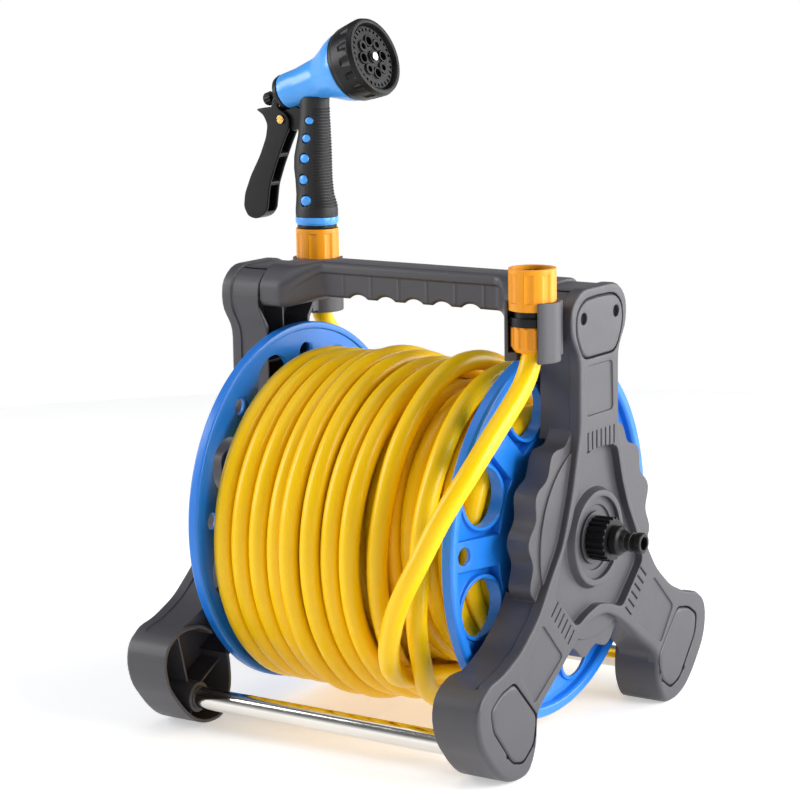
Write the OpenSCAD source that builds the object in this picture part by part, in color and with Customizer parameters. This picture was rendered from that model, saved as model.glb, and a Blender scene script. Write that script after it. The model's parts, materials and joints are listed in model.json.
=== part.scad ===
// Garden hose reel on a standing frame: a blue drum with a yellow hose between two moulded
// side frames, a handle across the top, and a spray nozzle parked on the left clip.
// The reel turns about X, the front faces -Y, and the floor is Z = 0.

/* [Frame] */
// Height of the reel's axle above the floor
axle_height = 164; // [160:1:180]
// Distance from the middle of the reel to the outer face of a side frame
frame_out = 168; // [166:1:172]
// Distance from the middle of the reel to the inner edge of a side frame
frame_in = 131; // [129:1:133]
// Wall thickness of the moulded side frames
wall = 3; // [2.5:0.5:4]
// Diameter of the two floor tubes
tube_d = 18; // [14:1:20]
// How far the floor tubes stand in front of and behind the axle
tube_reach = 139; // [136:1:142]
// Depth of the pocket round the hub
pocket_depth = 7; // [4:1:8]

/* [Reel] */
// Diameter of the flanges
flange_d = 300; // [280:2:304]
// Distance from the middle of the reel to the inner face of a flange
flange_in = 116; // [110:1:118]
// Width of a flange's rim
rim_w = 10; // [8:1:11]
// Number of large holes in a flange
hole_count = 8; // [6:1:9]
// Diameter of the large holes
hole_d = 46; // [36:1:50]
// Outer diameter of the drum's barrel
barrel_d = 138; // [130:2:142]

/* [Hose] */
// Outer diameter of the hose
hose_d = 16.5; // [16:0.5:17]
// Outer diameter of the hose wound tightly on the drum
coil_d = 230.4; // [226:0.2:231]
// Outer diameter of the loose outer layer
wrap_d = 281.2; // [276:0.2:282]
// How far the loose outer layer sags
wrap_sag = 9.4; // [8:0.1:10]

/* [Nozzle] */
// Diameter of the pattern dial's front
dial_d = 68; // [60:1:72]
// Tilt of the nozzle's barrel above the horizontal
barrel_tilt = 19; // [10:1:25]
// How far a quick connector's sleeve slides
sleeve_travel = 4; // [3:1:5]

/* [Hidden] */
$fn = 64;

// The inlet and the crank stand out by different amounts: the reel's middle is moved
// along X by half the difference, so that the origin is under the middle of the whole.
inlet_tip = 207;
knob_tip = 249;
shift_x = (knob_tip - inlet_tip) / 2;

charcoal = [0.23, 0.23, 0.25];
blue = [0.05, 0.42, 0.88];
light_blue = [0.25, 0.60, 0.92];
yellow = [0.96, 0.78, 0.05];
amber = [0.97, 0.66, 0.06];
black = [0.06, 0.06, 0.07];
steel = [0.75, 0.75, 0.77];
brass = [0.80, 0.65, 0.30];

plate_back = 158;
body_out = 160;
cavity_top = 156;
pocket_floor = frame_out - pocket_depth;
boot_in = 127;
sole_z = -axle_height;
tube_screw_x = frame_out - 5.1;
flange_r = flange_d / 2;
web = 3;
hole_ring = 112;
hose_r = hose_d / 2;
coil_r = coil_d / 2;
wrap_r = wrap_d / 2;
clip_x = 149.5;
clip_y = 70;
nut_bottom = 157;
knob_y = 66;
knob_z = 26;

// Half of the side frame's plate, from the top of the head down to the crotch, (Y, Z)
plate_half = [[27, 198], [41, 186], [41, 166], [28, 148], [28, 90], [34, 66],
    [41, 40], [55, 4], [74, -20], [92, -45], [118, -66], [146, -78], [165, -81], [176, -94],
    [177, -110], [168, -129], [149, -149], [135, -159], [119, -160], [103, -150],
    [97, -121], [92, -113], [67, -96], [51, -83], [30, -69], [12, -61]];
// Half of the pocket round the hub
pocket_half = [[0, 73], [17, 72], [28, 69], [36, 40], [45, 18], [60, -8], [70, -32],
    [36, -64], [18, -57], [0, -53]];
// One boot, in front or behind
boot = [[97, -112], [112, -92], [132, -79], [160, -78], [178, -88], [183, -104],
    [178, -124], [160, -146], [146, -158], [130, sole_z], [110, sole_z], [101, -154],
    [95, -138]];
// One foot cap, set in the boot's outer face
foot_cap = [[130, -86], [98, -119], [102, -140], [118, -151], [133, -147], [160, -115],
    [163, -99], [149, -90]];
// The cap over the head, half
head_cap_half = [[0, 192], [24, 191], [35, 182], [36, 166], [25, 146], [0, 146]];

// Both halves of a symmetric outline
function both(half) = concat(half, [for (i = [len(half) - 1:-1:0])
    if (half[i][0] > 0) [-half[i][0], half[i][1]]]);
function unit(v) = v / norm(v);
function area2(p) = [for (i = [0:len(p) - 1]) p[i][0] * p[(i + 1) % len(p)][1]
    - p[(i + 1) % len(p)][0] * p[i][1]] * [for (i = [0:len(p) - 1]) 1];
function anticlockwise(p) = area2(p) > 0 ? p : [for (i = [len(p) - 1:-1:0]) p[i]];
function normal_in(a, b) = [-(b - a)[1], (b - a)[0]] / norm(b - a);
// An anticlockwise outline moved in by d
function inset(p, d) = let (n = len(p)) [for (i = [0:n - 1])
    let (m = normal_in(p[(i + n - 1) % n], p[i]), k = normal_in(p[i], p[(i + 1) % n]))
    p[i] + d * (m + k) / (1 + m * k)];
// An outline with every corner rounded, cut back by up to r
function rounded(p, r, steps = 3) = let (n = len(p)) [for (i = [0:n - 1])
    let (a = p[(i + n - 1) % n], c = p[i], b = p[(i + 1) % n],
        s = c + unit(a - c) * min(r, norm(a - c) * 0.45),
        e = c + unit(b - c) * min(r, norm(b - c) * 0.45))
    for (k = [0:steps]) let (t = k / steps)
        (1 - t) * (1 - t) * s + 2 * t * (1 - t) * c + t * t * e];

// An upright plate from x0 to x1 with an outline in (Y, Z)
module slab(points, x0, x1) {
    translate([x0, 0, 0])
        rotate([90, 0, 90])
            linear_extrude(x1 - x0) polygon(points);
}

// An outline in (X, Z) from y0 to y1
module side_slab(points, y0, y1) {
    translate([0, y1, 0])
        rotate([90, 0, 0])
            linear_extrude(y1 - y0) polygon(points);
}

// A rod along X from x0 to x1
module rod(r, x0, x1, r2 = 0) {
    translate([x0, 0, 0])
        rotate([0, 90, 0])
            cylinder(h = x1 - x0, r1 = r, r2 = r2 > 0 ? r2 : r);
}

// A solid of rotation about X, from an outline in (radius, X)
module turned(points) {
    rotate([0, 90, 0])
        rotate_extrude() polygon(points);
}

// A solid through rings of points that all have the same count
module skin(rings) {
    count = len(rings[0]);
    last = (len(rings) - 1) * count;
    sides = [for (k = [0:len(rings) - 2]) for (i = [0:count - 1]) for (half = [0, 1])
        let (j = (i + 1) % count, a = k * count, b = a + count)
        half == 0 ? [a + i, b + i, b + j] : [a + i, b + j, a + j]];
    start = [for (i = [0:count - 1]) i];
    finish = [for (i = [count - 1:-1:0]) last + i];
    polyhedron([for (r = rings) for (q = r) q], concat(sides, [start], [finish]));
}

// An outline in (Y, Z) lofted along X: each step is [x, inset]
module lofted(points, steps, r) {
    base = anticlockwise(points);
    skin([for (s = steps) [for (q = rounded(inset(base, s[1]), r)) [s[0], q[0], q[1]]]]);
}

// Places a child in the reel's own frame, with the axle at the origin
module at_axle() {
    translate([shift_x, 0, axle_height]) children();
}

// The left side is the right side mirrored
module on_left() {
    mirror([1, 0, 0]) children();
}

// ---------- side frames ----------

// The scalloped disc behind the plate
module scalloped_disc() {
    scallops = 16;
    wave = [for (i = [0:127]) let (a = i * 360 / 128, r = 92.5 + 3.6 * cos(scallops * (a - 172.5)))
        [r * cos(a), r * sin(a)]];
    slab(wave, 140, body_out);
    rod(81, 150, body_out + 2);
}

// A row of slots across an arm, centred on (0, 0) of the arm's own frame
module slot_row(count, pitch, length) {
    slot_w = 1.6;
    for (i = [0:count - 1])
        translate([frame_out - 1.8, (i - (count - 1) / 2) * pitch - slot_w / 2, -length / 2])
            cube([3, slot_w, length]);
}

// A shallow panel in an arm's outer face
module panel(points) {
    slab(rounded(anticlockwise(points), 4), frame_out - 1.5, frame_out + 1);
}

module boss_for_tube(y) {
    translate([0, y, tube_z()]) rod(tube_d / 2 + 3.5, 112.5, cavity_top + 1);
}

function tube_z() = -139;

// The clip's side is -1 in front and 1 behind
module side_frame(clip_side) {
    outline = anticlockwise(both(plate_half));
    difference() {
        union() {
            slab(rounded(inset(outline, -2), 9), plate_back, frame_out);
            slab(rounded(inset(outline, -0.8), 12), frame_in, body_out);
            for (side = [-1, 1])
                scale([1, side, 1])
                    slab(rounded(anticlockwise(boot), 9), boot_in, frame_out);
            scalloped_disc();
        }
        // the hollow inside, open towards the reel
        difference() {
            union() {
                slab(inset(anticlockwise([[-31, 60], [-31, 150], [-44, 168], [-42, 188], [-27, 201],
                    [27, 201], [42, 188], [44, 168], [31, 150], [31, 60]]), wall + 0.5), 120, cavity_top);
                rod(87, 120, cavity_top);
                for (side = [-1, 1])
                    scale([1, side, 1]) {
                        slab(rounded(inset(anticlockwise(boot), wall), 7), 120, cavity_top);
                        slab([[58, -18], [88, -46], [120, -70], [118, -104], [100, -112], [64, -90],
                            [40, -72]], 120, cavity_top);
                    }
            }
            rod(22, 138, cavity_top + 1);
            for (a = [30:60:330])
                rotate([a, 0, 0]) translate([141, -1.2, 20]) cube([20, 2.4, 70]);
            for (z = [90, 118])
                translate([136, -31, z]) cube([25, 62, 2.4]);
            translate([136, -1.2, 60]) cube([25, 2.4, 110]);
            for (side = [-1, 1])
                scale([1, side, 1]) {
                    boss_for_tube(tube_reach);
                    translate([136, tube_reach - 1.2, -165]) cube([25, 2.4, 16]);
                    translate([136, tube_reach, tube_z()]) rotate([62, 0, 0])
                        translate([0, -1.2, 8]) cube([25, 2.4, 60]);
                    translate([136, tube_reach, tube_z()]) rotate([-14, 0, 0])
                        translate([0, -1.2, 8]) cube([25, 2.4, 60]);
                }
        }
        // the pocket round the hub, with its raised ring
        difference() {
            slab(rounded(anticlockwise(both(pocket_half)), 6), pocket_floor, frame_out + 1);
            rod(41, pocket_floor - 1, frame_out - 0.5, 38);
        }
        rod(33, frame_out - 4.5, frame_out + 1);
        rod(26, frame_out - 6.5, frame_out + 1);
        rod(16, 120, frame_out + 1);
        // slots, panels, cap seats
        translate([0, 2, 79.5]) slot_row(7, 6.8, 15);
        for (side = [-1, 1])
            scale([1, side, 1]) {
                translate([0, 58, -56]) rotate([-132, 0, 0]) slot_row(6, 7.4, 13);
                panel([[88, -50], [122, -82], [101, -109], [58, -82]]);
                slab(rounded(inset(anticlockwise(foot_cap), -1.2), 5), frame_out - 5, frame_out + 1);
                translate([0, tube_reach, tube_z()]) {
                    rod(tube_d / 2, 100, 153.5);
                    rod(1.6, 150, frame_out);
                    rod(3.4, tube_screw_x - 2, frame_out);
                }
            }
        panel([[-21, 100], [-20, 139], [20, 139], [21, 100]]);
        slab(rounded(inset(anticlockwise(both(head_cap_half)), -1.2), 8), frame_out - 5, frame_out + 1);
        // screw pilots: two for the head cap, two for the clip
        for (y = [-25, 25])
            translate([0, y, 177]) rod(1.6, 150, frame_out - 4);
        for (z = [165, 183])
            translate([clip_x, 0, z]) rotate([-90 * clip_side, 0, 0]) cylinder(h = 60, r = 1.6);
    }
}

module side_frame_right() {
    color(charcoal) at_axle() side_frame(-1);
}

module side_frame_left() {
    color(charcoal) at_axle() on_left() side_frame(1);
}

module head_cap() {
    difference() {
        union() {
            slab(rounded(anticlockwise(both(head_cap_half)), 8), frame_out - 5, frame_out - 1.5);
            lofted(both(head_cap_half), [[frame_out - 2, 0], [frame_out - 0.5, 0.3], [frame_out + 0.4, 1.2]], 8);
        }
        for (y = [-25, 25])
            translate([0, y, 177]) {
                rod(4.7, frame_out - 4, frame_out + 2);
                rod(1.9, frame_out - 6, frame_out + 2);
            }
    }
}

module head_cap_right() {
    color(charcoal) at_axle() head_cap();
}

module head_cap_left() {
    color(charcoal) at_axle() on_left() head_cap();
}

// A pan-head screw along X, its head's outer face at x = 0, pointing to -X
module screw(head_r, head_h, shank_r, length) {
    difference() {
        rod(head_r, -head_h, 0);
        for (a = [0, 90])
            rotate([a, 0, 0]) translate([-head_h * 0.5, -head_r * 0.6, -0.4]) cube([head_h, head_r * 1.2, 0.8]);
    }
    rod(shank_r, -length, -head_h + 0.1);
}

module head_cap_screws() {
    color(black) at_axle()
        for (side = [1, -1])
            scale([side, 1, 1])
                for (y = [-25, 25])
                    translate([frame_out - 2.3, y, 177]) screw(4.2, 1.6, 1.6, 14);
}

module foot_caps() {
    for (side = [-1, 1])
        scale([1, side, 1])
            lofted(foot_cap, [[frame_out - 5, 0], [frame_out - 1.6, 0], [frame_out - 0.4, 0.6], [frame_out + 0.3, 2.2]], 5);
}

module foot_caps_right() {
    color(charcoal) at_axle() foot_caps();
}

module foot_caps_left() {
    color(charcoal) at_axle() on_left() foot_caps();
}

spindle_r = 12;
running = 0.05;

module bearing_bush() {
    difference() {
        union() {
            rod(16, 138, frame_out - 6.5);
            rod(21, frame_out - 6.5, frame_out - 4.2);
            rod(19, 135.5, 138);
        }
        rod(spindle_r + running, 130, frame_out);
    }
}

module bearing_bush_right() {
    color(steel) at_axle() bearing_bush();
}

module bearing_bush_left() {
    color(steel) at_axle() on_left() bearing_bush();
}

// ---------- handle, tubes, clips ----------

module handle_bar() {
    ends = [[0, 201], [26, 201], [40, 188], [40, 172], [36, 168], [0, 168]];
    bar_top = 204;
    bar_bottom = 176;
    half_w = 14.5;
    section = rounded([[-half_w, bar_bottom], [half_w, bar_bottom], [half_w, bar_top - 3],
        [half_w - 3, bar_top], [3 - half_w, bar_top], [-half_w, bar_top - 3]], 2.5);
    color(charcoal) at_axle()
        difference() {
            union() {
                slab(section, -118, 118);
                slab(rounded([[-half_w - 2, 196], [half_w + 2, 196], [half_w + 2, 202],
                    [half_w - 1, 205], [1 - half_w, 205], [-half_w - 2, 202]], 2), -118, 118);
                for (side = [1, -1])
                    scale([side, 1, 1]) {
                        slab(rounded(anticlockwise(both(ends)), 9), 104, frame_in - 0.4);
                        slab(rounded(anticlockwise(both([[0, 204], [20, 204], [29, 195], [29, 176], [0, 172]])), 7), 96, 105);
                        slab(rounded(inset(anticlockwise(both(ends)), 4), 6), frame_in - 1, 150);
                    }
            }
            // hollow underside
            translate([-92, 3 - half_w, 160]) cube([184, 2 * half_w - 6, 38]);
            // finger grips along both lower edges
            for (i = [-2:2])
                translate([i * 27 + 4, 0, bar_bottom - 9.5]) rotate([90, 0, 0]) cylinder(h = 60, r = 13, center = true);
            for (side = [1, -1])
                translate([side * 142, 0, 185])
                    for (y = [-18, 18])
                        translate([0, y, 0]) rotate([0, 90, 0]) cylinder(h = 18, r = 1.6, center = true);
        }
}

module handle_screws() {
    color(steel) at_axle()
        for (side = [1, -1])
            scale([side, 1, 1])
                for (y = [-18, 18])
                    translate([154, y, 185]) screw(3.4, 2, 1.6, 20);
}

module floor_tube(y) {
    inner_r = tube_d / 2 - 1;
    color(steel) at_axle() translate([0, y, tube_z()])
        difference() {
            rod(tube_d / 2, -153.5, 153.5);
            rod(inner_r, -154, 154);
        }
}

module front_tube() {
    floor_tube(-tube_reach);
}

module rear_tube() {
    floor_tube(tube_reach);
}

module tube_plugs() {
    color(black) at_axle()
        for (side = [1, -1])
            scale([side, 1, 1])
                for (y = [-tube_reach, tube_reach])
                    translate([0, y, tube_z()])
                        difference() {
                            rod(tube_d / 2 - 1, 136, 153.5);
                            rod(1.6, 130, 154);
                        }
}

module tube_screws() {
    color(steel) at_axle()
        for (side = [1, -1])
            scale([side, 1, 1])
                for (y = [-tube_reach, tube_reach])
                    translate([tube_screw_x, y, tube_z()]) screw(3.4, 2, 1.6, 22);
}

clip_r = 18.7;

// A C-shaped clip that holds a connector upright, open to the front
module hose_clip() {
    outer_r = clip_r + 2.8;
    bottom = nut_bottom - 7;
    color(charcoal) at_axle() translate([clip_x, -clip_y, 0])
        difference() {
            union() {
                translate([0, 0, bottom]) cylinder(h = 46, r = outer_r);
                translate([-12, 12, bottom + 2]) cube([24, clip_y - 44.6 - 12, 42]);
            }
            translate([0, 0, bottom + 7]) cylinder(h = 60, r = clip_r);
            translate([0, 0, bottom - 1]) cylinder(h = 20, r = hose_r + 1.2);
            // the mouth
            translate([0, 0, bottom - 1])
                linear_extrude(60) polygon([[0, 0], [-40, -34], [-40, -60], [30, -60], [30, -34]]);
            translate([-hose_r - 1.2, -60, bottom - 1]) cube([hose_d + 2.4, 60, 20]);
            for (z = [165, 183])
                translate([0, clip_r - 3, z]) rotate([-90, 0, 0]) {
                    cylinder(h = 20, r = 1.6);
                    cylinder(h = 5, r = 3.4);
                }
        }
}

module hose_clip_front() {
    hose_clip();
}

// A half turn about the reel's upright middle line
module half_turn() {
    translate([2 * shift_x, 0, 0]) rotate([0, 0, 180]) children();
}

module hose_clip_rear() {
    half_turn() hose_clip();
}

module clip_screws() {
    module pair() {
        at_axle()
            for (z = [165, 183])
                translate([clip_x, -clip_y + clip_r + 0.2, z])
                    rotate([0, 0, -90]) screw(3.2, 1.8, 1.6, 12);
    }
    color(steel) {
        pair();
        half_turn() pair();
    }
}

// ---------- reel ----------

// Where the water outlet stands, along the axle and out from it
elbow_x = 102;
outlet_z = 54;

module drum_barrel() {
    r = barrel_d / 2;
    color(blue) at_axle()
        difference() {
            rod(r, -flange_in, flange_in);
            rod(r - 4, -flange_in - 1, flange_in + 1);
            // the slot where the hose's inner end climbs out
            slab([[0, 0], [0, 90], [150, 90], [150, -150], [-40, -150]], elbow_x - hose_r - 3, flange_in + 1);
        }
}

// The cone that the raised parts of a flange end on, over a plate of thickness t
module flange_crown(t) {
    lip = flange_in + t + 1;
    rise = 8;
    turned([[0, flange_in], [0, lip + rise], [84, lip + rise], [flange_r - rim_w, lip], [flange_r - rim_w, flange_in]]);
}

module flange() {
    pitch = 360 / hole_count;
    pad_w = 24;
    collar_w = 3;
    difference() {
        union() {
            rod(flange_r - rim_w / 2, flange_in, flange_in + web);
            turned([[flange_r - rim_w, flange_in], [flange_r - rim_w, flange_in + 8], [flange_r - rim_w + 2, flange_in + 10],
                [flange_r - 2, flange_in + 10], [flange_r, flange_in + 8], [flange_r, flange_in + 1], [flange_r - 1, flange_in]]);
            intersection() {
                flange_crown(web);
                union() {
                    for (i = [0:hole_count - 1])
                        rotate([i * pitch + 20, 0, 0]) translate([0, hole_ring, 0]) rod(hole_d / 2 + collar_w, 110, 140);
                    for (i = [0:hole_count - 1])
                        rotate([(i + 0.5) * pitch + 20, 0, 0]) translate([110, 84, -pad_w / 2]) cube([30, 60, pad_w]);
                    rod(86, 110, 140);
                }
            }
        }
        // thinned from inside, so that the walls stay even
        intersection() {
            translate([-web - 0.5, 0, 0]) flange_crown(web);
            union() {
                for (i = [0:hole_count - 1])
                    rotate([(i + 0.5) * pitch + 20, 0, 0]) translate([110, 87, 3 - pad_w / 2]) cube([30, 45, pad_w - 6]);
                difference() {
                    rod(83, 110, 140);
                    rod(barrel_d / 2 + 1.5, 100, 150);
                }
                difference() {
                    rod(barrel_d / 2 - 5.5, 110, 140);
                    rod(38, 100, 150);
                }
            }
        }
        for (i = [0:hole_count - 1])
            rotate([i * pitch + 20, 0, 0]) translate([0, hole_ring, 0]) rod(hole_d / 2, 100, 150);
        for (i = [0:hole_count - 1])
            rotate([(i + 0.5) * pitch + 20, 0, 0]) translate([0, 126, 0]) rod(7, 100, 150);
        // the rim and the middle stand proud of the web on the hose's side
        difference() {
            rod(flange_r - 5.5, flange_in - 1, flange_in + 1.6);
            rod(117, flange_in - 2, flange_in + 2);
        }
        rod(20, 100, 150);
        for (i = [0:3])
            rotate([i * 90 + 45, 0, 0]) translate([0, 30, 0]) rod(2, 100, 150);
    }
}

module flange_right() {
    color(blue) at_axle() flange();
}

module flange_left() {
    color(blue) at_axle() on_left() flange();
}

module drum_screws() {
    color(steel) at_axle()
        for (side = [1, -1])
            scale([side, 1, 1])
                for (i = [0:3])
                    rotate([i * 90 + 45, 0, 0]) translate([flange_in + web + 9 + 2, 30, 0]) screw(4, 2, 2, 20);
}

module spindle_flange() {
    difference() {
        rod(37, flange_in - 4.5, flange_in);
        for (i = [0:3])
            rotate([i * 90 + 45, 0, 0]) translate([0, 30, 0]) rod(2, 100, 150);
    }
    rod(20, flange_in - 4.5, 134);
}

module spindle_right() {
    color(black) at_axle()
        difference() {
            union() {
                spindle_flange();
                rod(spindle_r, 130, 163.5);
                rod(8, 163, 180);
            }
            rod(5, 90, 190);
            for (x = [169, 175])
                translate([x, 0, 0]) difference() {
                    rod(9, -1, 1);
                    rod(6, -2, 2);
                }
        }
}

module spindle_left() {
    square_w = 15;
    color(black) at_axle() on_left()
        difference() {
            union() {
                spindle_flange();
                rod(spindle_r, 130, 169);
                translate([168, -square_w / 2, -square_w / 2]) cube([18, square_w, square_w]);
            }
            rod(2.4, 165, 200);
        }
}

module o_ring(x, r, section) {
    translate([x, 0, 0])
        rotate([0, 90, 0])
            rotate_extrude() translate([r, 0]) circle(section, $fn = 24);
}

module spindle_o_rings() {
    color(black) at_axle()
        for (x = [169, 175])
            o_ring(x, 7, 1);
}

module outlet_elbow() {
    color(black) at_axle()
        difference() {
            union() {
                rod(9, elbow_x, flange_in - 4.5);
                translate([elbow_x, 0, 0]) sphere(9);
                translate([elbow_x, 0, 0]) cylinder(h = outlet_z, r = 8);
                translate([elbow_x, 0, outlet_z]) sphere(8);
                translate([elbow_x, 0, outlet_z]) rotate([-90, 0, 0]) cylinder(h = 28, r = 6);
            }
            rod(5, elbow_x, flange_in);
            translate([elbow_x, 0, 0]) cylinder(h = outlet_z, r = 4.5);
            translate([elbow_x, 0, 0]) sphere(5);
            translate([elbow_x, 0, outlet_z]) rotate([-90, 0, 0]) cylinder(h = 40, r = 4);
        }
}

module outlet_nut() {
    color(black) at_axle()
        translate([elbow_x, 9, outlet_z])
            rotate([-90, 0, 0])
                difference() {
                    cylinder(h = 5, r = 11, $fn = 8);
                    translate([0, 0, -1]) cylinder(h = 30, r = 6);
                }
}

// ---------- water inlet ----------

module inlet_connector() {
    color(black) at_axle()
        difference() {
            turned([[0, 166], [11, 166], [11, 181], [11.6, 181.4], [11.6, 187], [9, 189], [8.2, 192],
                [7.2, 193], [7.2, 200.5], [8.4, 202], [8.4, 206], [7.6, inlet_tip], [0, inlet_tip]]);
            rod(8 + running, 160, 180.4);
            rod(5.2, 180, 210);
            translate([197, 0, 0]) difference() {
                rod(9, -1.2, 1.2);
                rod(5.9, -2, 2);
            }
        }
}

module inlet_nut() {
    teeth = 20;
    nut_r = 16.4;
    color(black) at_axle()
        difference() {
            union() {
                rod(nut_r, frame_out - 4, 180.5);
                for (i = [0:teeth - 1])
                    rotate([i * 360 / teeth, 0, 0]) translate([frame_out - 4, nut_r - 1, -1.2]) cube([16, 2.2, 2.4]);
            }
            rod(11, 150, 190);
        }
}

module inlet_o_ring() {
    color(black) at_axle() o_ring(197, 7, 1.1);
}

// ---------- crank ----------

module crank_arm() {
    arm = unit([knob_y, knob_z]);
    across = [-arm[1], arm[0]];
    reach = norm([knob_y, knob_z]);
    outline = [for (q = [[0, 19], [reach, 13], [reach, -13], [0, -19]]) q[0] * arm + q[1] * across];
    color(charcoal) at_axle() on_left()
        difference() {
            union() {
                rod(21, 170, 190);
                slab(anticlockwise(outline), 178, 188);
                translate([0, knob_y, knob_z]) rod(14, 176, 190);
            }
            translate([160, -7.5, -7.5]) cube([26, 15, 15]);
            rod(2.4, 170, 200);
            rod(6, 188, 200);
            translate([0, knob_y, knob_z]) {
                rod(4, 170, 200);
                rod(8, 170, 179);
            }
        }
}

module crank_screw() {
    color(steel) at_axle() on_left() translate([190.1, 0, 0]) screw(5.6, 2.1, 2.3, 20);
}

module crank_pin() {
    color(steel) at_axle() on_left() translate([0, knob_y, knob_z]) {
        rod(4, 179, 244);
        rod(7.5, 175.5, 179);
        rod(7, 243.5, 245.5);
    }
}

module crank_knob() {
    color(black) at_axle() on_left() translate([0, knob_y, knob_z])
        turned([[4 + running, 190.5], [12, 190.5], [13.5, 193], [13, 205], [14.5, 222], [16, 238], [15, 246],
            [11, knob_tip], [7.6, knob_tip], [7.6, 243], [4 + running, 243]]);
}

// ---------- hose ----------

// Half the length of the wound hose: it fills the drum from flange to flange
coil_half = flange_in - 0.5;

module hose_coil() {
    color(yellow) at_axle()
        turned([[barrel_d / 2, -coil_half], [coil_r - 4, -coil_half], [coil_r, -coil_half + 5],
            [coil_r, coil_half - 5], [coil_r - 4, coil_half], [barrel_d / 2, coil_half]]);
}

// The loose outer layer, which both clips hold by its two ends
module hose_wrap() {
    color(yellow) at_axle()
        difference() {
            translate([0, 0, -wrap_sag]) rod(wrap_r, -coil_half, 86);
            rod(coil_r + 0.4, -120, 120);
        }
}

// The hose's loose end, from the front clip over the right flange to under the reel
tail_route = [[149.5, -70, 157], [149.5, -71, 147], [149, -76, 137], [146.5, -86, 126], [144, -104, 110],
    [141.5, -122, 94.5], [138.5, -138, 78.5], [132.5, -150, 61.5], [124, -159, 44], [116, -163.5, 25.5],
    [108, -166.5, 8], [98, -168, -10], [87, -166, -29], [77, -160, -49], [66, -149, -71], [58.5, -136, -88],
    [53, -118, -101], [51, -97, -107], [50, -76, -111]];
// The hose's other end, from the rear clip over the left flange and in under the reel
lead_route = [[-149.5, 70, 157], [-149.5, 71, 147], [-149, 76, 137], [-146.5, 86, 126], [-144, 104, 110],
    [-141.5, 122, 94.5], [-138.5, 138, 78.5], [-132.5, 150, 61.5], [-124, 159, 44], [-116, 163.5, 26],
    [-110.5, 163.5, 8], [-108, 158.5, -26], [-106, 147, -58], [-105.5, 128, -84], [-106, 104, -104],
    [-106.5, 76, -119]];

function along(route, i) = let (n = len(route), a = route[max(i - 1, 0)], b = route[min(i + 1, n - 1)]) unit(b - a);
// A ring of points round one place of a route; across is a direction that the route never takes
function hoop(route, i, across, sides) = let (d = along(route, i), u = unit(cross(d, across)), v = cross(d, u))
    [for (k = [0:sides - 1]) let (a = k * 360 / sides) route[i] + hose_r * (cos(a) * u + sin(a) * v)];

module hose_tube(route, across) {
    skin([for (i = [0:len(route) - 1]) hoop(route, i, across, 10)]);
}

module hose_tail() {
    color(yellow) at_axle() hose_tube(tail_route, [2, 0, -1]);
}

module hose_lead() {
    color(yellow) at_axle() hose_tube(lead_route, [-2, 0, -1]);
}

// ---------- quick connectors ----------

sleeve_r = 18.3;
nut_h = 20;
band_h = 7;
sleeve_bottom = nut_bottom + nut_h + band_h + sleeve_travel + 1;
sleeve_top = sleeve_bottom + 32;

module at_clip() {
    at_axle() translate([clip_x, -clip_y, 0]) children();
}

module connector_sleeve() {
    flutes = 8;
    difference() {
        translate([0, 0, sleeve_bottom]) cylinder(h = sleeve_top - sleeve_bottom, r = sleeve_r);
        translate([0, 0, sleeve_bottom - 1]) cylinder(h = 60, r = 14.5 + 0.35);
        for (i = [0:flutes - 1])
            rotate([0, 0, (i + 0.5) * 360 / flutes]) translate([sleeve_r + 6.8, 0, sleeve_bottom + 6])
                cylinder(h = 22, r = 8);
    }
}

module connector_body() {
    difference() {
        union() {
            translate([0, 0, nut_bottom + nut_h]) cylinder(h = band_h, r = 16.8);
            translate([0, 0, nut_bottom + nut_h + band_h]) cylinder(h = 33, r = 14.5);
            translate([0, 0, nut_bottom + 4]) cylinder(h = 20, r = 6.2);
        }
        translate([0, 0, nut_bottom + nut_h + 15]) cylinder(h = 60, r = 8.7);
        translate([0, 0, nut_bottom - 1]) cylinder(h = 60, r = 4.5);
        translate([0, 0, nut_bottom + nut_h + 30]) cylinder(h = 60, r = 12.2);
    }
}

module connector_nut() {
    ribs = 14;
    difference() {
        union() {
            translate([0, 0, nut_bottom + 3]) cylinder(h = nut_h - 3, r = 15.6);
            translate([0, 0, nut_bottom]) cylinder(h = 3, r1 = 13.5, r2 = 15.6);
            for (i = [0:ribs - 1])
                rotate([0, 0, i * 360 / ribs]) translate([15, -1.1, nut_bottom + 4]) cube([1.8, 2.2, nut_h - 5]);
        }
        translate([0, 0, nut_bottom - 1]) cylinder(h = 60, r = hose_r + 0.3);
    }
}

// The split ring of claws inside the sleeve that holds the nipple
module connector_collet() {
    claws = 6;
    difference() {
        translate([0, 0, nut_bottom + nut_h + 30.2]) cylinder(h = 11, r = 12);
        translate([0, 0, nut_bottom]) cylinder(h = 80, r = 9.4);
        for (i = [0:claws - 1])
            rotate([0, 0, i * 60]) translate([0, -0.7, nut_bottom + nut_h + 34]) cube([20, 1.4, 20]);
    }
}

module front_connector_sleeve() {
    color(amber) at_clip() connector_sleeve();
}

module front_connector_body() {
    color(black) at_clip() connector_body();
}

module front_connector_nut() {
    color(amber) at_clip() connector_nut();
}

module front_connector_collet() {
    color(black) at_clip() connector_collet();
}

module rear_connector_sleeve() {
    color(amber) half_turn() at_clip() connector_sleeve();
}

module rear_connector_body() {
    color(black) half_turn() at_clip() connector_body();
}

module rear_connector_nut() {
    color(amber) half_turn() at_clip() connector_nut();
}

module rear_connector_collet() {
    color(black) half_turn() at_clip() connector_collet();
}

// ---------- spray nozzle ----------

// The nozzle's frame: its handle's axis is Z, and its barrel tilts up towards +X
module at_nozzle() {
    at_axle() translate([-clip_x, clip_y, 0]) children();
}

barrel_start = [-12, 342];
grip_bottom = 231;
grip_top = 331;
neck_r = 9.5;

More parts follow.
